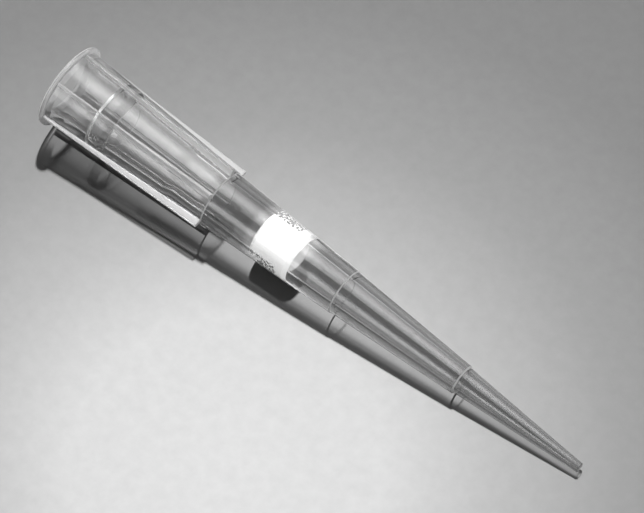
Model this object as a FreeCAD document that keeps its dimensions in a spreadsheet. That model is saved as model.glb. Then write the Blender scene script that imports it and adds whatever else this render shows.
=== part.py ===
"""Filtered pipette tip: a clear moulded tip body with a porous filter plug pressed into its bore.

Lengths are in millimetres. Each piece is drawn along its own +Z, from the open mouth at z = 0
to the point, and its Placement lays the tip down on z = 0 as it comes to rest.
"""

import FreeCAD, Part
import math
import os

import Sketcher

DOC_NAME = "filtered_pipette_tip"
RIB_COUNT = 6

# Every size of the tip, in millimetres unless its name says otherwise.
SIZES = [
    ("overall_length", 51.0),
    # mouth and lip
    ("lip_radius", 3.65),
    ("lip_depth", 0.40),
    ("lip_rounding", 0.14),
    ("collar_radius", 3.27),
    # outer steps, each given by its depth and the radius on either side
    ("shoulder_depth", 15.60),
    ("shoulder_radius_above", 2.52),
    ("shoulder_radius_below", 2.46),
    ("upper_mark_depth", 28.00),
    ("upper_mark_radius_above", 1.97),
    ("upper_mark_radius_below", 1.92),
    ("lower_mark_depth", 39.55),
    ("lower_mark_radius_above", 1.29),
    ("lower_mark_radius_below", 1.175),
    ("point_radius", 0.40),
    ("point_rounding", 0.06),
    # bore, from the mouth to the orifice
    ("lead_in", 0.30),
    ("lead_in_depth", 0.65),
    ("socket_radius", 2.38),
    ("seal_start", 1.90),
    ("seal_radius", 2.22),
    ("socket_depth", 4.05),
    ("groove_start", 4.40),
    ("groove_end", 5.20),
    ("groove_radius", 2.48),
    ("throat_start", 5.86),
    ("throat_radius_top", 2.09),
    ("throat_depth", 11.40),
    ("throat_radius_end", 1.87),
    ("chamber_radius", 1.665),
    ("chamber_start", 12.20),
    ("seat_start", 23.20),
    ("seat_depth", 23.55),
    ("seat_radius", 1.29),
    ("lower_mark_bore", 0.82),
    ("orifice_radius", 0.23),
    # ribs: their section narrows outwards, and the crests are trimmed to a slow taper
    ("rib_root_radius", 2.20),
    ("rib_root_half_width", 0.33),
    ("rib_crest_radius", 3.50),
    ("rib_crest_half_width", 0.10),
    ("rib_radius_top", 3.47),
    ("rib_radius_end", 3.10),
    ("rib_trim_radius", 3.60),
    # filter plug
    ("plug_length", 3.60),
    ("plug_rounding", 0.15),
]


def make_sheet(doc):
    """Puts every size in one sheet, each under its own name."""
    sheet = doc.addObject("Spreadsheet::Sheet", "sizes")
    for row, (name, value) in enumerate(SIZES, start=1):
        sheet.set("A%d" % row, name)
        sheet.set("B%d" % row, str(value))
        sheet.setAlias("B%d" % row, name)
    doc.recompute()
    return sheet


def origin_plane(body, role):
    """The body's own origin plane or axis with this role."""
    for feature in body.Origin.OriginFeatures:
        if feature.Role == role:
            return feature
    raise RuntimeError("no origin feature " + role)


def new_sketch(body, name, role="XZ_Plane"):
    """A sketch flat on one of the body's origin planes."""
    sketch = body.newObject("Sketcher::SketchObject", name)
    sketch.AttachmentSupport = [(origin_plane(body, role), "")]
    sketch.MapMode = "FlatFace"
    return sketch


def closed_outline(sketch, corners, doc):
    """Draws a closed run of straight lines and binds each corner to its named sizes.

    A corner is (across, along): each is an expression over the sheet, or None for zero. A
    leading minus puts the corner on the negative side.
    """
    values = []
    for across, along in corners:
        values.append((evaluate(doc, across), evaluate(doc, along)))
    count = len(values)
    for i in range(count):
        a = FreeCAD.Vector(values[i][0], values[i][1], 0)
        b = FreeCAD.Vector(values[(i + 1) % count][0], values[(i + 1) % count][1], 0)
        sketch.addGeometry(Part.LineSegment(a, b), False)
    for i in range(count):
        sketch.addConstraint(Sketcher.Constraint("Coincident", i, 2, (i + 1) % count, 1))
    for i, (across, along) in enumerate(corners):
        bind(sketch, "DistanceX", i, across, values[i][0])
        bind(sketch, "DistanceY", i, along, values[i][1])


def evaluate(doc, expression):
    """The length that a sum or difference of named sizes gives; None stands for zero."""
    if expression is None:
        return 0.0
    total = 0.0
    for term in expression.replace("-", "+-").lstrip("+").split("+"):
        sign = -1.0 if term.startswith("-") else 1.0
        total += sign * float(doc.getObject("sizes").get(term.lstrip("-")))
    return total


def bind(sketch, kind, line, expression, value):
    """Holds the start of a line at a distance from the sketch's centre."""
    if expression is None:
        on_axis = -2 if kind == "DistanceX" else -1
        sketch.addConstraint(Sketcher.Constraint("PointOnObject", line, 1, on_axis))
        return
    if expression.startswith("-"):
        held = Sketcher.Constraint(kind, line, 1, -1, 1, -value)
    else:
        held = Sketcher.Constraint(kind, -1, 1, line, 1, value)
    index = sketch.addConstraint(held)
    terms = expression.lstrip("-").replace("+", " + sizes.").replace("-", " - sizes.")
    sketch.setExpression("Constraints[%d]" % index, "(sizes." + terms + ") * 1mm")


def revolve(body, kind, name, sketch):
    """A full turn of the sketch about the body's long axis."""
    feature = body.newObject("PartDesign::" + kind, name)
    feature.Profile = sketch
    feature.ReferenceAxis = (sketch, ["V_Axis"])
    feature.Angle = 360
    return feature


def round_edges(body, doc, name, wanted, size):
    """Rounds the edges that the test picks, by a named size."""
    doc.recompute()
    tip = body.Tip
    picked = []
    for i, edge in enumerate(tip.Shape.Edges, start=1):
        if wanted(edge):
            picked.append("Edge%d" % i)
    if not picked:
        raise RuntimeError(name + " finds no edge")
    fillet = body.newObject("PartDesign::Fillet", name)
    fillet.Base = (tip, picked)
    fillet.setExpression("Radius", "sizes.%s * 1mm" % size)
    return fillet


def ring_at(depth, radius):
    """Picks the circular edge at this depth and radius."""

    def test(edge):
        curve = edge.Curve
        if not isinstance(curve, Part.Circle):
            return False
        return abs(curve.Center.z - depth) < 1e-4 and abs(curve.Radius - radius) < 1e-4

    return test


def build_tip_body(doc):
    body = doc.addObject("PartDesign::Body", "tip_body")
    body.Label = "tip_body"

    outer = new_sketch(body, "outer_profile")
    closed_outline(
        outer,
        [
            (None, None),
            ("lip_radius", None),
            ("lip_radius", "lip_depth"),
            ("collar_radius", "lip_depth"),
            ("shoulder_radius_above", "shoulder_depth"),
            ("shoulder_radius_below", "shoulder_depth"),
            ("upper_mark_radius_above", "upper_mark_depth"),
            ("upper_mark_radius_below", "upper_mark_depth"),
            ("lower_mark_radius_above", "lower_mark_depth"),
            ("lower_mark_radius_below", "lower_mark_depth"),
            ("point_radius", "overall_length"),
            (None, "overall_length"),
        ],
        doc,
    )
    revolve(body, "Revolution", "outer_form", outer)
    doc.recompute()

    rib = new_sketch(body, "rib_section", "XY_Plane")
    closed_outline(
        rib,
        [
            ("rib_root_radius", "-rib_root_half_width"),
            ("rib_crest_radius", "-rib_crest_half_width"),
            ("rib_crest_radius", "rib_crest_half_width"),
            ("rib_root_radius", "rib_root_half_width"),
        ],
        doc,
    )
    pad = body.newObject("PartDesign::Pad", "rib")
    pad.Profile = rib
    pad.setExpression("Length", "sizes.shoulder_depth * 1mm")
    doc.recompute()

    ring = body.newObject("PartDesign::PolarPattern", "ribs")
    ring.Originals = [pad]
    ring.Axis = (origin_plane(body, "Z_Axis"), [""])
    ring.Angle = 360
    ring.Occurrences = RIB_COUNT
    body.Tip = ring
    doc.recompute()

    trim = new_sketch(body, "rib_crest_profile")
    closed_outline(
        trim,
        [
            ("rib_radius_top", "lip_depth"),
            ("rib_trim_radius", "lip_depth"),
            ("rib_trim_radius", "shoulder_depth"),
            ("rib_radius_end", "shoulder_depth"),
        ],
        doc,
    )
    revolve(body, "Groove", "rib_crests", trim)
    doc.recompute()
    solid_volume = body.Shape.Volume

    bore = new_sketch(body, "bore_profile")
    closed_outline(
        bore,
        [
            (None, None),
            ("socket_radius+lead_in", None),
            ("socket_radius", "lead_in_depth"),
            ("seal_radius", "seal_start"),
            ("seal_radius", "socket_depth"),
            ("groove_radius", "groove_start"),
            ("groove_radius", "groove_end"),
            ("throat_radius_top", "throat_start"),
            ("throat_radius_end", "throat_depth"),
            ("chamber_radius", "chamber_start"),
            ("chamber_radius", "seat_start"),
            ("seat_radius", "seat_depth"),
            ("lower_mark_bore", "lower_mark_depth"),
            ("orifice_radius", "overall_length"),
            (None, "overall_length"),
        ],
        doc,
    )
    revolve(body, "Groove", "bore", bore)
    doc.recompute()
    if body.Shape.Volume > 0.85 * solid_volume:
        raise RuntimeError("the bore cuts too little")

    size = dict(SIZES)
    round_edges(
        body, doc, "lip_edge_mouth_side", ring_at(0.0, size["lip_radius"]), "lip_rounding"
    )
    round_edges(
        body,
        doc,
        "lip_edge_rib_side",
        ring_at(size["lip_depth"], size["lip_radius"]),
        "lip_rounding",
    )
    round_edges(
        body,
        doc,
        "point_edge",
        ring_at(size["overall_length"], size["point_radius"]),
        "point_rounding",
    )
    return body


def build_filter_plug(doc):
    body = doc.addObject("PartDesign::Body", "filter_plug")
    body.Label = "filter_plug"
    profile = new_sketch(body, "plug_profile")
    closed_outline(
        profile,
        [
            (None, "seat_depth-plug_length"),
            ("chamber_radius", "seat_depth-plug_length"),
            ("chamber_radius", "seat_start"),
            ("seat_radius", "seat_depth"),
            (None, "seat_depth"),
        ],
        doc,
    )
    revolve(body, "Revolution", "plug_form", profile)
    size = dict(SIZES)
    mouth_side = ring_at(size["seat_depth"] - size["plug_length"], size["chamber_radius"])
    round_edges(body, doc, "plug_edge_mouth_side", mouth_side, "plug_rounding")
    return body


def lying_down(tilt, x, z):
    """Lays the long axis along +X, with the point lower than the mouth by the tilt.

    The piece's X goes to the part's Y, so that no rib points straight down and two of them
    stand on the surface, 30 degrees to either side.
    """
    down = math.sin(tilt)
    flat = math.cos(tilt)
    matrix = FreeCAD.Matrix(0, down, flat, x, 1, 0, 0, 0, 0, flat, -down, z, 0, 0, 0, 1)
    return FreeCAD.Placement(matrix)


def resting_placement(shape):
    """The placement in which the lowest points on both sides of the middle touch z = 0."""
    points = [v.Point for v in shape.Vertexes]
    for edge in shape.Edges:
        points.extend(edge.discretize(60))
    middle = 0.5 * shape.BoundBox.ZMax
    upper = [p for p in points if p.z < middle]
    lower = [p for p in points if p.z >= middle]
    tilt = 0.06
    for _ in range(40):
        down = math.sin(tilt)
        flat = math.cos(tilt)
        a = min(upper, key=lambda p: p.y * flat - p.z * down)
        b = min(lower, key=lambda p: p.y * flat - p.z * down)
        tilt = math.atan2(b.y - a.y, b.z - a.z)
    down = math.sin(tilt)
    flat = math.cos(tilt)
    height = -min(p.y * flat - p.z * down for p in points)
    reach = [p.y * down + p.z * flat for p in points]
    return lying_down(tilt, -0.5 * (min(reach) + max(reach)), height)


def check(doc):
    for obj in doc.Objects:
        if "Invalid" in obj.State or "Error" in obj.State:
            raise RuntimeError("%s is %s" % (obj.Name, obj.State))
    for obj in doc.Objects:
        if obj.TypeId.startswith("PartDesign::") and hasattr(obj, "Shape"):
            if obj.Shape.isNull() or not obj.Shape.isValid():
                raise RuntimeError(obj.Name + " has no sound shape")


def main():
    doc = FreeCAD.newDocument(DOC_NAME)
    make_sheet(doc)
    tip_body = build_tip_body(doc)
    filter_plug = build_filter_plug(doc)
    doc.recompute()
    check(doc)

    place = resting_placement(tip_body.Shape)
    os.makedirs("parts", exist_ok=True)
    for body in (tip_body, filter_plug):
        body.Placement = place
    doc.recompute()
    check(doc)
    for body in (tip_body, filter_plug):
        body.Shape.exportStep("parts/%s.step" % body.Label)
        box = body.Shape.BoundBox
        print(body.Label, len(body.Shape.Solids), "solid", round(body.Shape.Volume, 3), "mm3", box)
    print("tilt", place.Rotation.multVec(FreeCAD.Vector(0, 0, 1)))


main()
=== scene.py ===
"""Looks of a filtered pipette tip: a clear ribbed polypropylene body with a porous filter plug.

The tip is turned about its own long axis in millimetres, from the open mouth at s = 0 to the
point, and then laid down as the CAD model lies.
"""

import math

import bmesh
import bpy
import numpy as np
from mathutils import Matrix, Vector, noise


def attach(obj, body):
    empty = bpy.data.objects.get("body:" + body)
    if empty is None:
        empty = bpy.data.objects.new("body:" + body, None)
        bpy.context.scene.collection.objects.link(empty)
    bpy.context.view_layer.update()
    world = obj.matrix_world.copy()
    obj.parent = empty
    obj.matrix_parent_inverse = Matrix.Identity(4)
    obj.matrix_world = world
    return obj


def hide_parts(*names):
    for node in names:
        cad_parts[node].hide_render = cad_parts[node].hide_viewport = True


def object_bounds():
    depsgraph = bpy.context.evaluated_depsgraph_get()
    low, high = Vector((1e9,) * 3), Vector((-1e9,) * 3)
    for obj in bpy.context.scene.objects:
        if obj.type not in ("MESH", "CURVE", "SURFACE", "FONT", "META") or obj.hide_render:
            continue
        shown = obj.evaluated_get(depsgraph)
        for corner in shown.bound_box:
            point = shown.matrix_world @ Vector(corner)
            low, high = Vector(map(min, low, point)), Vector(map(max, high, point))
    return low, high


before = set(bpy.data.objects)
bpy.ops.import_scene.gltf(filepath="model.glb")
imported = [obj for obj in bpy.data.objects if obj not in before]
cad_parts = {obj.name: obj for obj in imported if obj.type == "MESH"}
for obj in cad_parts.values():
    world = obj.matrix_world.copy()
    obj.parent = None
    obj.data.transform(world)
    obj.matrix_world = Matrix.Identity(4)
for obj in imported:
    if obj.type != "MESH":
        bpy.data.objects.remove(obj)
cad_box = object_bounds()

MM = 0.001
RIBS = 6

# ---- sizes, in millimetres -------------------------------------------------------------------
LENGTH = 51.0
LIP_R, LIP_S, LIP_ROUND = 3.65, 0.40, 0.14
COLLAR_R = 3.27
SHOULDER_S, SHOULDER_R0, SHOULDER_R1 = 15.60, 2.52, 2.46
UPPER_S, UPPER_R0, UPPER_R1 = 28.00, 1.97, 1.92
LOWER_S, LOWER_R0, LOWER_R1 = 39.55, 1.29, 1.175
POINT_R, POINT_ROUND = 0.40, 0.06
LEAD_IN, LEAD_IN_S, SOCKET_R = 0.30, 0.65, 2.38
SEAL_S, SEAL_R, SOCKET_S = 1.90, 2.22, 4.05
GROOVE_S0, GROOVE_S1, GROOVE_R = 4.40, 5.20, 2.48
THROAT_S0, THROAT_R0 = 5.86, 2.09
THROAT_S1, THROAT_R1 = 11.40, 1.87
CHAMBER_S, CHAMBER_R = 12.20, 1.665
SEAT_S0, SEAT_S, SEAT_R = 23.20, 23.55, 1.29
LOWER_BORE_R, ORIFICE_R = 0.82, 0.23
RIB_R0, RIB_R1 = 3.47, 3.10
RIB_ROOT_R, RIB_ROOT_HALF = 2.20, 0.33
RIB_CREST_R, RIB_CREST_HALF = 3.50, 0.10
RIB_FOOT_ROUND, RIB_EDGE_ROUND = 0.06, 0.03
PLUG_L = 3.60
STEP_REACH = 0.05

# share of a lamp's light that goes on through one face, by how squarely it meets the face
THROUGH_SOCKET = [(0.0, 0.76), (0.12, 0.62), (0.25, 0.42), (0.45, 0.36), (0.7, 0.38), (1.0, 0.42)]
THROUGH_SOCKET_END = [(0.0, 0.76), (0.12, 0.66), (0.18, 0.50), (0.26, 0.22), (0.5, 0.24), (1.0, 0.30)]
THROUGH_OUTSIDE = [(0.0, 0.95), (0.12, 0.86), (0.30, 0.38), (0.42, 0.24), (1.0, 0.18)]
THROUGH_RIB = [(0.0, 0.70), (0.1, 0.60), (0.16, 0.85), (0.22, 0.85), (0.3, 0.05), (1.0, 0.0)]
THROUGH_FOOT = [(0.0, 0.0), (0.1, 0.05), (0.3, 0.22), (1.0, 0.24)]
THROUGH_CREST = [(0.0, 0.10), (0.15, 0.20), (0.3, 0.42), (1.0, 0.42)]
THROUGH_BORE = [(0.0, 0.90), (0.5, 0.86), (1.0, 0.75)]
THROUGH_CHAMBER = [(0.0, 0.98), (1.0, 0.90)]

# how bright the room is shown in the plastic, by height, and its bright patch about the lamp
ROOM_BY_HEIGHT = [(0.0, 1.2), (0.2, 1.2), (0.35, 0.35), (0.7, 0.50), (1.0, 1.0)]
PATCH = [(0.86, 0.0), (0.93, 0.25), (0.97, 0.7), (1.0, 1.0)]
PATCH_LEVEL = 5.5
LAMP_FROM = (-0.234, 0.413, 0.880)
# a second, narrower bright patch: a window low on the near side
WINDOW = [(0.965, 0.0), (0.985, 0.4), (0.995, 0.9), (1.0, 1.0)]
WINDOW_LEVEL = 4.5
WINDOW_FROM = (-0.14, -0.84, 0.525)
SHEEN = 0.2

# how clear the outside is below the shoulder, by depth in millimetres: dark along most of the tip, and clear over
# the plug, a painted brightening that lets the lit plug show bright through the wall
CLEAR_ALONG = [(0.0, 0.40), (19.4, 0.40), (19.9, 1.0), (24.3, 1.0), (25.0, 0.42), (51.0, 0.42)]


# a painted pool of light on the card: its tone by distance from its brightest place, as a share of the reach, in
# metres
FLOOR_BRIGHTEST, FLOOR_REACH = (0.004, -0.016, 0), 0.1
FLOOR_LIGHT_POOL = [(0.0, 0.84), (0.12, 0.80), (0.2, 0.59), (0.3, 0.40), (0.42, 0.29), (0.55, 0.25), (1.0, 0.60)]


# ---- mesh helpers ----------------------------------------------------------------------------
def rounded(points, radii, steps=4):
    """An (s, r) outline with each inner corner rounded by its radius."""
    out = [points[0]]
    for i in range(1, len(points) - 1):
        before, corner, after = (np.array(points[k], float) for k in (i - 1, i, i + 1))
        if radii[i] <= 0:
            out.append(tuple(corner))
            continue
        back = (before - corner) / np.linalg.norm(before - corner)
        ahead = (after - corner) / np.linalg.norm(after - corner)
        half = math.acos(float(np.clip(back @ ahead, -1, 1))) / 2
        reach = radii[i] / math.tan(half)
        middle = back + ahead
        centre = corner + middle / np.linalg.norm(middle) * radii[i] / math.sin(half)
        first, last = corner + back * reach - centre, corner + ahead * reach - centre
        start = math.atan2(first[1], first[0])
        turn = (math.atan2(last[1], last[0]) - start + math.pi) % (2 * math.pi) - math.pi
        for k in range(steps + 1):
            a = start + turn * k / steps
            out.append((centre[0] + radii[i] * math.cos(a), centre[1] + radii[i] * math.sin(a)))
    out.append(points[-1])
    return out


def divided(outline, longest):
    """The same outline with points added so that no run is longer than this."""
    out = [outline[0]]
    for (s0, r0), (s1, r1) in zip(outline, outline[1:]):
        count = max(1, math.ceil(math.hypot(s1 - s0, r1 - r0) / longest))
        for k in range(1, count + 1):
            out.append((s0 + (s1 - s0) * k / count, r0 + (r1 - r0) * k / count))
    return out


RIB_SLOPE = (RIB_ROOT_HALF - RIB_CREST_HALF) / (RIB_CREST_R - RIB_ROOT_R)
RIB_DRAFT = math.atan(RIB_SLOPE)
FOOT_BAND = 0.20
THICK_WALL_S = 9.8


def rib_half(x):
    """Half the rib's thickness at this distance out along its middle plane."""
    return RIB_CREST_HALF + (RIB_CREST_R - x) * RIB_SLOPE


def crest_corner(rib_r):
    """Where a rib's side meets its crest: out along its middle plane, and to the side."""
    x = rib_r
    for _ in range(5):
        x = math.sqrt(rib_r**2 - rib_half(x) ** 2)
    return x, rib_half(x)


def half_sector(body_r, rib_r):
    """Half of one rib's share of the round, from the rib's middle to midway to the next rib."""
    corner_x, half_t = crest_corner(rib_r)
    points = [(0.0, rib_r)]
    for k in range(4):
        a = (math.pi / 2 - RIB_DRAFT) * k / 3
        x = corner_x - RIB_EDGE_ROUND + RIB_EDGE_ROUND * math.cos(a)
        y = half_t - RIB_EDGE_ROUND + RIB_EDGE_ROUND * math.sin(a)
        points.append((math.atan2(y, x), math.hypot(x, y)))
    top = corner_x - RIB_EDGE_ROUND
    low, high = 0.5 * body_r, top
    for _ in range(30):
        foot = 0.5 * (low + high)
        x = foot + RIB_FOOT_ROUND * math.sin(RIB_DRAFT)
        y = rib_half(foot) + RIB_FOOT_ROUND * math.cos(RIB_DRAFT)
        if math.hypot(x, y) < body_r + RIB_FOOT_ROUND:
            low = foot
        else:
            high = foot
    for share in (0.06, 0.5, 0.94):
        r = top + (foot - top) * share
        points.append((math.atan2(rib_half(r), r), math.hypot(r, rib_half(r))))
    start = -math.pi / 2 - RIB_DRAFT
    end = math.atan2(-y, -x)
    if end > 0:
        end -= 2 * math.pi
    for k in range(6):
        a = start + (end - start) * k / 5
        u, v = x + RIB_FOOT_ROUND * math.cos(a), y + RIB_FOOT_ROUND * math.sin(a)
        points.append((math.atan2(v, u), math.hypot(u, v)))
    last = points[-1][0]
    for k in range(1, 11):
        points.append((last + (math.pi / RIBS - last) * k / 10, body_r))
    return points


def ribbed_ring(s, body_r, rib_r):
    """One round of the outside, with the ribs standing on it."""
    half = half_sector(body_r, rib_r)
    sector = [(-a, r) for a, r in reversed(half[1:-1])] + half
    ring = []
    for rib in range(RIBS):
        middle = rib * 2 * math.pi / RIBS
        for a, r in sector:
            ring.append((r * math.cos(middle + a), r * math.sin(middle + a), s))
    return ring


def plain_ring(s, r):
    """A round of the same number of points, with no ribs."""
    half = half_sector(3.0, 3.4)
    sector = [-a for a, _ in reversed(half[1:-1])] + [a for a, _ in half]
    ring = []
    for rib in range(RIBS):
        middle = rib * 2 * math.pi / RIBS
        for a in sector:
            ring.append((r * math.cos(middle + a), r * math.sin(middle + a), s))
    return ring


def even_ring(s, r, count):
    return [
        (r * math.cos(2 * math.pi * k / count), r * math.sin(2 * math.pi * k / count), s)
        for k in range(count)
    ]


def skin(name, rings, merge):
    """A closed mesh over a run of rings with equal numbers of points."""
    count = len(rings[0])
    points = [p for ring in rings for p in ring]
    faces = []
    for i in range(len(rings) - 1):
        for k in range(count):
            a, b = i * count + k, i * count + (k + 1) % count
            faces.append((a, b, b + count, a + count))
    mesh = bpy.data.meshes.new(name)
    mesh.from_pydata(points, [], faces)
    bm = bmesh.new()
    bm.from_mesh(mesh)
    bmesh.ops.remove_doubles(bm, verts=bm.verts, dist=merge)
    bmesh.ops.recalc_face_normals(bm, faces=bm.faces)
    bm.to_mesh(mesh)
    bm.free()
    obj = bpy.data.objects.new(name, mesh)
    bpy.context.scene.collection.objects.link(obj)
    mesh.shade_smooth()
    return obj


# ---- the moulded body ------------------------------------------------------------------------
def ramp(s, s0, r0, s1, r1):
    return r0 + (r1 - r0) * (s - s0) / (s1 - s0)


def bore_reach(s):
    """A radius between the bore and the outside at this depth."""
    if s < SHOULDER_S:
        return 0.5 * (SOCKET_R + SHOULDER_R0)
    return 0.5 * (ramp(s, SHOULDER_S, CHAMBER_R + SHOULDER_R1, LENGTH, ORIFICE_R + POINT_R))


def past_rib(x, y):
    """How far round a place on the body lies past the nearest rib's foot, as a share of the way
    to midway between two ribs."""
    sector = 2 * math.pi / RIBS
    angle = math.atan2(y, x)
    off_middle = abs(angle - sector * round(angle / sector))
    r = math.hypot(x, y)
    foot = (rib_half(r) + RIB_FOOT_ROUND) / r
    return (off_middle - foot) / (0.5 * sector - foot)


def build_tip():
    lip = rounded(
        [(0, SOCKET_R + LEAD_IN), (0, LIP_R), (LIP_S, LIP_R), (LIP_S, COLLAR_R)],
        [0, LIP_ROUND, LIP_ROUND, 0],
        6,
    )
    rings = [plain_ring(s, r) for s, r in lip]
    for s in np.linspace(LIP_S, SHOULDER_S - STEP_REACH, 16):
        body_r = ramp(s, LIP_S, COLLAR_R, SHOULDER_S, SHOULDER_R0)
        rings.append(ribbed_ring(float(s), body_r, ramp(s, LIP_S, RIB_R0, SHOULDER_S, RIB_R1)))
    below = rounded(
        [
            (SHOULDER_S - STEP_REACH, SHOULDER_R0),
            (SHOULDER_S + STEP_REACH, SHOULDER_R1),
            (UPPER_S - STEP_REACH, UPPER_R0),
            (UPPER_S + STEP_REACH, UPPER_R1),
            (LOWER_S - STEP_REACH, LOWER_R0),
            (LOWER_S + STEP_REACH, LOWER_R1),
            (LENGTH, POINT_R),
            (LENGTH, ORIFICE_R),
        ],
        [0, 0.02, 0.03, 0.02, 0.05, 0.03, POINT_ROUND, 0],
        3,
    )
    bore = rounded(
        [
            (LENGTH, ORIFICE_R),
            (LOWER_S, LOWER_BORE_R),
            (SEAT_S, SEAT_R),
            (SEAT_S0, CHAMBER_R),
            (CHAMBER_S, CHAMBER_R),
            (THROAT_S1, THROAT_R1),
            (THROAT_S0, THROAT_R0),
            (GROOVE_S1, GROOVE_R),
            (GROOVE_S0, GROOVE_R),
            (SOCKET_S, SEAL_R),
            (SEAL_S, SEAL_R),
            (LEAD_IN_S, SOCKET_R),
            (0, SOCKET_R + LEAD_IN),
        ],
        [0, 2, 0.05, 0.05, 1.0, 1.0, 0.12, 0.5, 0.3, 0.06, 1.0, 0.1, 0],
        5,
    )
    for s, r in divided(below, 1.0)[1:] + divided(bore, 1.0)[1:]:
        rings.append(plain_ring(s, r))
    tip = skin("clear_tip_body", rings, 1e-5)
    tip.data.set_sharp_from_angle(angle=math.radians(45))
    for face in tip.data.polygons:
        x, y, s = face.center
        inner_r = math.hypot(x, y)
        outwards = (face.normal[0] * x + face.normal[1] * y) / inner_r
        in_lip = s < LIP_S + 0.01
        in_ribs = LIP_S < s < SHOULDER_S
        # the bore edges, the lip's rounded edge and the steps get pale skins below: painted highlights (slots 11, 9
        # and 3)
        on_bore_edge = any(abs(s - edge) < 0.035 for edge in (SOCKET_S, GROOVE_S1, THROAT_S0))
        on_step = any(abs(s - step) < 0.06 for step in (SHOULDER_S, UPPER_S, LOWER_S))
        # the bore along the plug gets the untinted chamber plastic (slot 6): a painted brightening of the lit plug
        # seen through it
        if outwards < 0 and inner_r < bore_reach(s) and on_bore_edge:
            face.material_index = 11
        elif outwards < 0 and inner_r < bore_reach(s) and SEAT_S - PLUG_L < s < SEAT_S:
            face.material_index = 6
        elif outwards < 0 and inner_r < bore_reach(s):
            face.material_index = 8 if s < SHOULDER_S else 1
        elif in_lip and s < LIP_ROUND and inner_r > LIP_R - LIP_ROUND:
            face.material_index = 9
        elif in_lip:
            face.material_index = 4
        elif on_step and abs(face.normal[2]) > 0.25:
            face.material_index = 3
        elif in_ribs and inner_r > ramp(s, LIP_S, COLLAR_R, SHOULDER_S, SHOULDER_R0) + 0.005:
            face.material_index = 2 if abs(outwards) < 0.4 else 5
        elif in_ribs and past_rib(x, y) < FOOT_BAND:
            face.material_index = 10
        else:
            face.material_index = 7 if s < THICK_WALL_S else 12 if s < SHOULDER_S else 0
    return tip


# ---- the filter plug -------------------------------------------------------------------------
def build_plug():
    reach = CHAMBER_R
    ends = SEAT_S - PLUG_L, SEAT_S - 0.006
    outline = rounded(
        [
            (ends[0], 0.002),
            (ends[0], reach),
            (SEAT_S0, reach),
            (ends[1], SEAT_R),
            (ends[1], 0.002),
        ],
        [0, 0.15, 0.05, 0.05, 0],
        5,
    )
    plug = skin("porous_filter_plug", [even_ring(s, r, 240) for s, r in divided(outline, 0.042)], 4e-3)
    bm = bmesh.new()
    bm.from_mesh(plug.data)
    bm.normal_update()
    moves = []
    for vert in bm.verts:
        coarse = noise.noise(vert.co * 6.5)
        fine = noise.noise(vert.co * 13.0 + Vector((3, 7, 1)))
        pressed = min(max((vert.co.z - SEAT_S0 + 0.7) / 0.4, 0.0), 1.0)
        moves.append(vert.normal * (0.008 * coarse + 0.003 * fine - 0.001 + 0.012 * pressed))
    for vert, move in zip(bm.verts, moves):
        vert.co += move
    bm.to_mesh(plug.data)
    bm.free()
    return plug


def lay_down(pieces):
    """Lays the pieces as the CAD model lies, on two rib ends and the lower mark's edge."""
    out, aside = crest_corner(RIB_R1)
    rib_end = out * math.cos(math.pi / RIBS) + aside * math.sin(math.pi / RIBS)
    tilt = math.atan2(rib_end - LOWER_R0, LOWER_S - SHOULDER_S)
    down, flat = math.sin(tilt), math.cos(tilt)
    height = rib_end * flat + SHOULDER_S * down
    matrix = Matrix(((0, down, flat, 0), (1, 0, 0, 0), (0, flat, -down, height), (0, 0, 0, 1)))
    for piece in pieces:
        piece.data.transform(matrix)
        piece.data.transform(Matrix.Scale(MM, 4))
    spread = [v.co.x for v in pieces[0].data.vertices]
    middle = 0.5 * (cad_box[0][0] + cad_box[1][0])
    shift = middle - 0.5 * (min(spread) + max(spread))
    for piece in pieces:
        piece.data.transform(Matrix.Translation((shift, 0, 0)))


# ---- materials -------------------------------------------------------------------------------
def new_material(name):
    material = bpy.data.materials.new(name)
    material.use_nodes = True
    material.node_tree.nodes.clear()
    return material, material.node_tree


def node(tree, kind, values=None, **settings):
    made = tree.nodes.new(kind)
    for key, value in settings.items():
        setattr(made, key, value)
    for key, value in (values or {}).items():
        made.inputs[key].default_value = value
    return made


def join(tree, source, output, target, socket):
    tree.links.new(source.outputs[output], target.inputs[socket])


def graded(ramp, stops):
    """Sets a colour ramp's grey levels: (place, level) from low to high."""
    elements = ramp.color_ramp.elements
    while len(elements) < len(stops):
        elements.new(0.5)
    for element, (place, level) in zip(elements, stops):
        element.position = place
        element.color = (level, level, level, 1)


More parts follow.
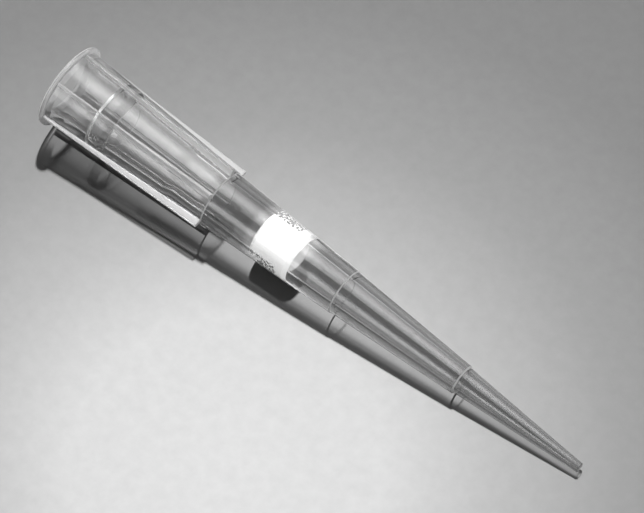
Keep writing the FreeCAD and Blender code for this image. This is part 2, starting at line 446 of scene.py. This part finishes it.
def clear_plastic(name, through_wall, tint, clarity, haze_most, shine=0.5, sheen=SHEEN):
    """Clear polypropylene: faintly hazy, with the fine lengthwise waviness of a moulding."""
    material, tree = new_material(name)
    place = node(tree, "ShaderNodeTexCoord")
    stretch = node(tree, "ShaderNodeMapping", {"Scale": (300, 2200, 2200)})
    waves = node(tree, "ShaderNodeTexNoise", {"Scale": 1.0, "Detail": 2.0})
    join(tree, place, "Object", stretch, "Vector")
    join(tree, stretch, "Vector", waves, "Vector")
    bump = node(tree, "ShaderNodeBump", {"Strength": 0.015, "Distance": 0.00001})
    join(tree, waves, "Fac", bump, "Height")
    haze = node(tree, "ShaderNodeMapRange", {"To Min": 0.5 * haze_most, "To Max": haze_most})
    join(tree, waves, "Fac", haze, "Value")
    plastic = node(
        tree,
        "ShaderNodeBsdfPrincipled",
        {
            "Base Color": (tint, tint, tint, 1),
            "Transmission Weight": clarity,
            "IOR": 1.49,
            "Specular IOR Level": shine,
            "Sheen Weight": sheen,
            "Sheen Roughness": 0.3,
        },
    )
    join(tree, haze, "Result", plastic, "Roughness")
    join(tree, bump, "Normal", plastic, "Normal")
    # lamps shine on through the wall where they meet it squarely, and are bent away where they graze it
    rays = node(tree, "ShaderNodeLightPath")
    either = node(tree, "ShaderNodeMath", operation="MAXIMUM")
    join(tree, rays, "Is Shadow Ray", either, 0)
    join(tree, rays, "Is Diffuse Ray", either, 1)
    facing = node(tree, "ShaderNodeLayerWeight", {"Blend": 0.5})
    through = node(tree, "ShaderNodeValToRGB")
    graded(through, through_wall)
    join(tree, facing, "Facing", through, "Fac")
    lit = node(tree, "ShaderNodeBsdfTransparent")
    join(tree, through, "Color", lit, "Color")
    mix = node(tree, "ShaderNodeMixShader")
    out = node(tree, "ShaderNodeOutputMaterial")
    join(tree, either, "Value", mix, "Fac")
    tree.links.new(plastic.outputs[0], mix.inputs[1])
    tree.links.new(lit.outputs[0], mix.inputs[2])
    join(tree, mix, "Shader", out, "Surface")
    return material


def clear_along_tip(tree, stops):
    """Lets the plastic's tint change along the tip: clear where the wall has the white plug behind it, a painted
    brightening of the lit plug seen through the wall.
    """
    place = node(tree, "ShaderNodeTexCoord")
    split = node(tree, "ShaderNodeSeparateXYZ")
    join(tree, place, "Object", split, "Vector")
    along = node(tree, "ShaderNodeMapRange", {"From Min": -0.5 * LENGTH * MM, "From Max": 0.5 * LENGTH * MM})
    join(tree, split, "X", along, "Value")
    tint = node(tree, "ShaderNodeValToRGB")
    graded(tint, [(s / LENGTH, level) for s, level in stops])
    join(tree, along, "Result", tint, "Fac")
    plastic = next(each for each in tree.nodes if each.bl_idname == "ShaderNodeBsdfPrincipled")
    join(tree, tint, "Color", plastic, "Base Color")


def painted_glint_edge(name, whiteness):
    """A pale skin on a rounded edge: the same plastic, rough and mostly matt, a painted highlight standing in for
    the glints and bright refraction along the edge.
    """
    material, tree = new_material(name)
    place = node(tree, "ShaderNodeTexCoord")
    grain = node(tree, "ShaderNodeTexNoise", {"Scale": 4000.0, "Detail": 2.0})
    join(tree, place, "Object", grain, "Vector")
    level = node(tree, "ShaderNodeMapRange", {"To Min": 0.45, "To Max": 0.65})
    join(tree, grain, "Fac", level, "Value")
    plastic = node(
        tree,
        "ShaderNodeBsdfPrincipled",
        {
            "Base Color": (whiteness, whiteness, whiteness, 1),
            "Transmission Weight": 0.15,
            "IOR": 1.49,
            "Specular IOR Level": 0.1,
        },
    )
    join(tree, level, "Result", plastic, "Roughness")
    out = node(tree, "ShaderNodeOutputMaterial")
    join(tree, plastic, "BSDF", out, "Surface")
    return material


def porous_plastic():
    """Sintered polyethylene: white, matt and grainy, with painted shade darkening the pores between the grains."""
    material, tree = new_material("porous_polyethylene")
    place = node(tree, "ShaderNodeTexCoord")
    cells = node(tree, "ShaderNodeTexVoronoi", {"Scale": 7500.0})
    cloud = node(tree, "ShaderNodeTexNoise", {"Scale": 2600.0, "Detail": 3.0})
    for texture in (cells, cloud):
        join(tree, place, "Object", texture, "Vector")
    shade = node(tree, "ShaderNodeValToRGB")
    shade.color_ramp.elements[0].position = 0.25
    shade.color_ramp.elements[0].color = (0.95, 0.95, 0.945, 1)
    shade.color_ramp.elements[1].position = 0.95
    shade.color_ramp.elements[1].color = (0.90, 0.90, 0.895, 1)
    join(tree, cells, "Distance", shade, "Fac")
    bump = node(tree, "ShaderNodeBump", {"Strength": 0.2, "Distance": 0.00001})
    join(tree, cloud, "Fac", bump, "Height")
    matt = node(
        tree,
        "ShaderNodeBsdfPrincipled",
        {"Roughness": 0.85, "Subsurface Weight": 0.3, "Subsurface Scale": 0.0004},
    )
    matt.inputs["Subsurface Radius"].default_value = (1, 1, 1)
    join(tree, shade, "Color", matt, "Base Color")
    join(tree, bump, "Normal", matt, "Normal")
    out = node(tree, "ShaderNodeOutputMaterial")
    join(tree, matt, "BSDF", out, "Surface")
    return material


def floor_card():
    """Pale matt card, with a fine fibre mottle and a painted pool of light: a slow change of tone across it."""
    material, tree = new_material("floor_card")
    place = node(tree, "ShaderNodeTexCoord")
    from_bright = node(tree, "ShaderNodeVectorMath", {1: FLOOR_BRIGHTEST}, operation="DISTANCE")
    join(tree, place, "Object", from_bright, 0)
    reach = node(tree, "ShaderNodeMapRange", {"From Max": FLOOR_REACH})
    join(tree, from_bright, "Value", reach, "Value")
    tone = node(tree, "ShaderNodeValToRGB")
    graded(tone, FLOOR_LIGHT_POOL)
    join(tree, reach, "Result", tone, "Fac")
    mottle = node(tree, "ShaderNodeTexNoise", {"Scale": 900.0, "Detail": 6.0, "Roughness": 0.6})
    join(tree, place, "Object", mottle, "Vector")
    level = node(tree, "ShaderNodeMapRange", {"To Min": 0.91, "To Max": 1.09})
    join(tree, mottle, "Fac", level, "Value")
    both = node(tree, "ShaderNodeMix", {"Factor": 1.0}, data_type="RGBA", blend_type="MULTIPLY")
    tree.links.new(tone.outputs["Color"], both.inputs["A"])
    tree.links.new(level.outputs["Result"], both.inputs["B"])
    card = node(
        tree, "ShaderNodeBsdfPrincipled", {"Roughness": 0.75, "Specular IOR Level": 0.25}
    )
    tree.links.new(both.outputs["Result"], card.inputs["Base Color"])
    out = node(tree, "ShaderNodeOutputMaterial")
    join(tree, card, "BSDF", out, "Surface")
    return material


# ---- stage, lamps and camera -----------------------------------------------------------------
def build_floor():
    half = 0.6
    mesh = bpy.data.meshes.new("floor")
    corners = [(-half, -half, 0), (half, -half, 0), (half, half, 0), (-half, half, 0)]
    mesh.from_pydata(corners, [], [(0, 1, 2, 3)])
    mesh.materials.append(floor_card())
    floor = bpy.data.objects.new("floor", mesh)
    bpy.context.scene.collection.objects.link(floor)
    return floor


def build_lights(tip, plug, floor):
    lamp = bpy.data.lights.new("key", "SUN")
    lamp.energy = 3.15
    lamp.angle = math.radians(3)
    key = bpy.data.objects.new("key", lamp)
    key.rotation_euler = Vector((0.266, -0.469, -1.0)).to_track_quat("-Z", "Y").to_euler()
    bpy.context.scene.collection.objects.link(key)
    key.visible_glossy = False
    key.visible_transmission = False
    key_lit = bpy.data.collections.new("lit_by_key")
    key_lit.objects.link(plug)
    key_lit.objects.link(floor)
    key.light_linking.receiver_collection = key_lit
    soft = bpy.data.lights.new("plug_light", "SUN")
    soft.energy = 2.6
    soft.angle = math.radians(150)
    fill = bpy.data.objects.new("plug_light", soft)
    fill.rotation_euler = Vector((-1.0, 0.30, -0.6)).to_track_quat("-Z", "Y").to_euler()
    bpy.context.scene.collection.objects.link(fill)
    lit_only = bpy.data.collections.new("lit_by_plug_light")
    lit_only.objects.link(plug)
    shades_only = bpy.data.collections.new("shades_plug_light")
    shades_only.objects.link(plug)
    fill.light_linking.receiver_collection = lit_only
    fill.light_linking.blocker_collection = shades_only
    side = bpy.data.lights.new("side_light", "SUN")
    side.energy = 1.4
    side.angle = math.radians(40)
    side_lamp = bpy.data.objects.new("side_light", side)
    side_lamp.rotation_euler = Vector((0.0, -0.966, -0.259)).to_track_quat("-Z", "Y").to_euler()
    bpy.context.scene.collection.objects.link(side_lamp)
    side_lamp.visible_glossy = False
    side_lamp.visible_transmission = False
    body_only = bpy.data.collections.new("lit_by_side_light")
    body_only.objects.link(tip)
    side_lamp.light_linking.receiver_collection = body_only
    top = bpy.data.lights.new("top_light", "SUN")
    top.energy = 1.6
    top.angle = math.radians(30)
    top_lamp = bpy.data.objects.new("top_light", top)
    top_lamp.rotation_euler = Vector((0.1, 0.03, -1.0)).to_track_quat("-Z", "Y").to_euler()
    bpy.context.scene.collection.objects.link(top_lamp)
    top_lamp.visible_glossy = False
    top_lamp.visible_transmission = False
    top_lamp.light_linking.receiver_collection = lit_only
    top_lamp.light_linking.blocker_collection = lit_only
    end = bpy.data.lights.new("end_light", "SUN")
    end.energy = 2.0
    end.angle = math.radians(20)
    end_lamp = bpy.data.objects.new("end_light", end)
    end_lamp.rotation_euler = Vector((-1.0, -0.15, -0.3)).to_track_quat("-Z", "Y").to_euler()
    bpy.context.scene.collection.objects.link(end_lamp)
    end_lamp.visible_glossy = False
    end_lamp.visible_transmission = False
    end_lamp.light_linking.receiver_collection = body_only
    rib = bpy.data.lights.new("rib_light", "SPOT")
    rib.energy = 560
    rib.spot_size = 2 * math.atan2(0.5, 3.0)
    rib.spot_blend = 0.0
    rib.shadow_soft_size = 0.02
    rib_lamp = bpy.data.objects.new("rib_light", rib)
    rib_lamp.location = (0, -0.5, 3.0)
    bpy.context.scene.collection.objects.link(rib_lamp)
    rib_lamp.visible_glossy = False
    rib_lamp.visible_transmission = False
    rib_lamp.light_linking.receiver_collection = body_only
    world = bpy.data.worlds.new("room")
    bpy.context.scene.world = world
    world.use_nodes = True
    tree = world.node_tree
    tree.nodes.clear()
    rays = node(tree, "ShaderNodeLightPath")
    seen = node(tree, "ShaderNodeMath", operation="MAXIMUM")
    join(tree, rays, "Is Camera Ray", seen, 0)
    join(tree, rays, "Is Glossy Ray", seen, 1)
    shown = node(tree, "ShaderNodeMath", operation="MAXIMUM")
    join(tree, seen, "Value", shown, 0)
    join(tree, rays, "Is Transmission Ray", shown, 1)
    place = node(tree, "ShaderNodeTexCoord")
    split = node(tree, "ShaderNodeSeparateXYZ")
    join(tree, place, "Generated", split, "Vector")
    height = node(tree, "ShaderNodeValToRGB")
    graded(height, ROOM_BY_HEIGHT)
    join(tree, split, "Z", height, "Fac")
    level = height.outputs["Color"]
    for direction, stops, strength in (
        (LAMP_FROM, PATCH, PATCH_LEVEL),
        (WINDOW_FROM, WINDOW, WINDOW_LEVEL),
    ):
        towards = node(tree, "ShaderNodeVectorMath", {1: direction}, operation="DOT_PRODUCT")
        join(tree, place, "Generated", towards, 0)
        patch = node(tree, "ShaderNodeValToRGB")
        patch.color_ramp.interpolation = "B_SPLINE"
        graded(patch, stops)
        join(tree, towards, "Value", patch, "Fac")
        bright = node(tree, "ShaderNodeMath", {1: strength}, operation="MULTIPLY")
        join(tree, patch, "Color", bright, 0)
        added = node(tree, "ShaderNodeMath", operation="ADD")
        join(tree, bright, "Value", added, 0)
        tree.links.new(level, added.inputs[1])
        level = added.outputs["Value"]
    lighting = node(tree, "ShaderNodeBackground", {"Color": (1, 1, 1, 1), "Strength": 0.045})
    backdrop = node(tree, "ShaderNodeBackground", {"Color": (1, 1, 1, 1)})
    tree.links.new(level, backdrop.inputs["Strength"])
    mix = node(tree, "ShaderNodeMixShader")
    join(tree, shown, "Value", mix, "Fac")
    tree.links.new(lighting.outputs[0], mix.inputs[1])
    tree.links.new(backdrop.outputs[0], mix.inputs[2])
    out = node(tree, "ShaderNodeOutputWorld")
    join(tree, mix, "Shader", out, "Surface")


def build_camera():
    elevation, azimuth, distance = 1.0631, -0.8896, 0.400
    target = Vector((-0.001467, 0.002207, 0.0))
    towards = Vector(
        (
            math.cos(elevation) * math.cos(azimuth),
            math.cos(elevation) * math.sin(azimuth),
            math.sin(elevation),
        )
    )
    lens = bpy.data.cameras.new("camera")
    lens.sensor_width = 36
    lens.lens = 287.3
    lens.clip_start = 0.01
    camera = bpy.data.objects.new("camera", lens)
    camera.location = target + towards * distance
    camera.rotation_euler = (-towards).to_track_quat("-Z", "Y").to_euler()
    bpy.context.scene.collection.objects.link(camera)
    bpy.context.scene.camera = camera


def main():
    tip = build_tip()
    plug = build_plug()
    lay_down([tip, plug])
    outside = clear_plastic("clear_polypropylene_outside", THROUGH_OUTSIDE, 0.40, 0.98, 0.06, 0.5, 0.9)
    # the outside's tint along the tip, clear only over the plug: a painted brightening of the lit plug
    clear_along_tip(outside.node_tree, CLEAR_ALONG)
    tip.data.materials.append(outside)
    tip.data.materials.append(clear_plastic("clear_polypropylene_bore", THROUGH_BORE, 0.72, 0.98, 0.06))
    tip.data.materials.append(clear_plastic("clear_polypropylene_rib_sides", THROUGH_RIB, 0.97, 0.60, 0.12, 0.2))
    # the step line, lip edge and bore edge skins are painted highlights, pale and matt
    tip.data.materials.append(painted_glint_edge("clear_polypropylene_step_line", 0.36))
    tip.data.materials.append(clear_plastic("clear_polypropylene_lip", THROUGH_OUTSIDE, 0.95, 0.72, 0.10))
    tip.data.materials.append(clear_plastic("clear_polypropylene_rib_crests", THROUGH_CREST, 0.90, 0.80, 0.08))
    # the bore along the plug is untinted: a painted brightening of the lit plug seen through it
    tip.data.materials.append(clear_plastic("clear_polypropylene_chamber", THROUGH_CHAMBER, 1.0, 0.99, 0.06))
    tip.data.materials.append(clear_plastic("clear_polypropylene_socket", THROUGH_SOCKET, 0.82, 0.98, 0.06, 0.4))
    tip.data.materials.append(clear_plastic("clear_polypropylene_socket_bore", THROUGH_BORE, 0.78, 0.98, 0.06, 0.35))
    tip.data.materials.append(painted_glint_edge("clear_polypropylene_lip_edge", 0.80))
    tip.data.materials.append(clear_plastic("clear_polypropylene_rib_feet", THROUGH_FOOT, 0.82, 0.98, 0.06))
    tip.data.materials.append(painted_glint_edge("clear_polypropylene_bore_edge", 0.50))
    tip.data.materials.append(
        clear_plastic("clear_polypropylene_socket_end", THROUGH_SOCKET_END, 0.82, 0.98, 0.06, 0.4)
    )
    plug.data.materials.append(porous_plastic())
    plug.visible_diffuse = False
    for piece, cad_node, slot in (
        (tip, "tip_body", "clear_polypropylene"),
        (plug, "filter_plug", "porous_polyethylene"),
    ):
        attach(piece, "root")
        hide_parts(cad_node)
    floor = build_floor()
    build_lights(tip, plug, floor)
    build_camera()
    bpy.context.scene.view_settings.view_transform = "Standard"


main()
